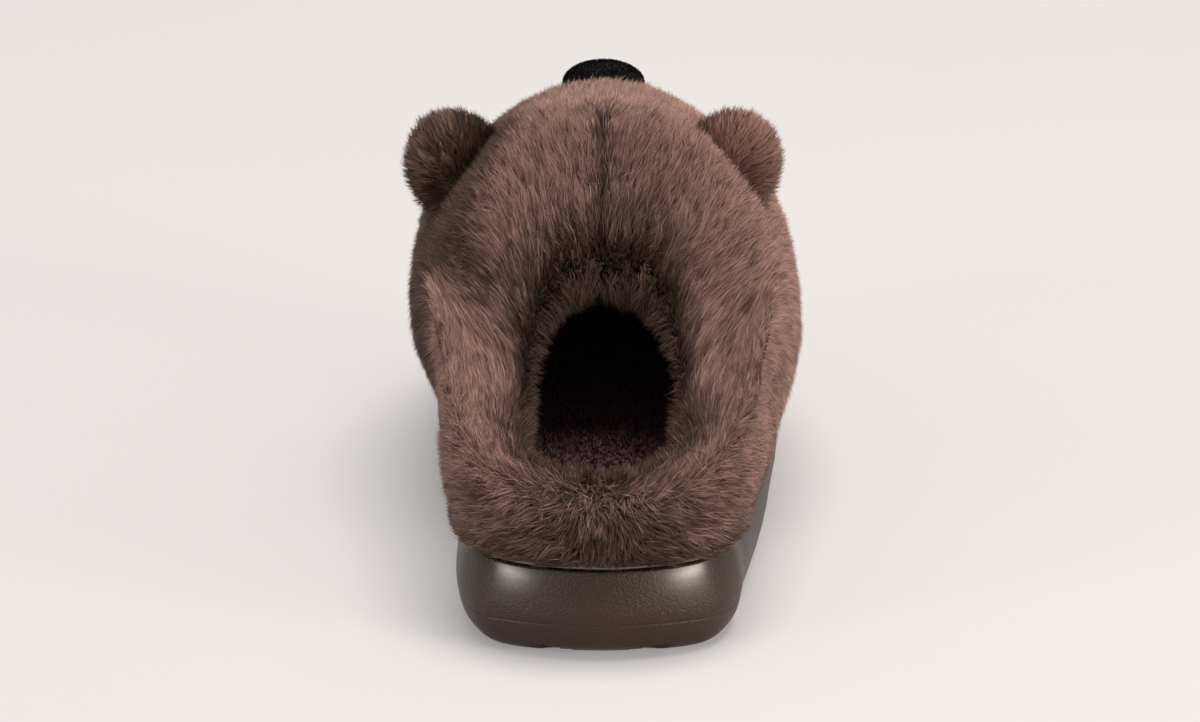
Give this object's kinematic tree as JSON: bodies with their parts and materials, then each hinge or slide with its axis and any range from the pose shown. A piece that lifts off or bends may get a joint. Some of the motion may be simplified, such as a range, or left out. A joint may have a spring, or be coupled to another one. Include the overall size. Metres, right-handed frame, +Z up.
{
  "type": "animal slipper",
  "caption": "Plush slipper in the shape of a bear's head: deep-pile hollow upper with a padded collar, stuffed ears and a flocked nose on a thick moulded sole.",
  "frame": {"origin": "on the floor under the middle of the shoe's bounding box", "axes": "+Z up, +Y from heel to toe, +X towards the outer side of a right foot"},
  "size_m": [0.1296, 0.2752, 0.1318],
  "materials": {
    "sole_foam": "moulded foam with a fine leather grain, satin",
    "band": "smooth, half gloss",
    "footbed_plush": "short plush",
    "fur": "deep brown pile",
    "ear_fur": "deep brown pile",
    "nose_flock": "black flock"
  },
  "bodies": {
    "root": {"sole": "sole_foam", "wrap_band": "band", "footbed": "footbed_plush", "upper": "fur", "ear_medial": "ear_fur", "ear_lateral": "ear_fur", "nose": "nose_flock"}
  },
  "joints": []
}
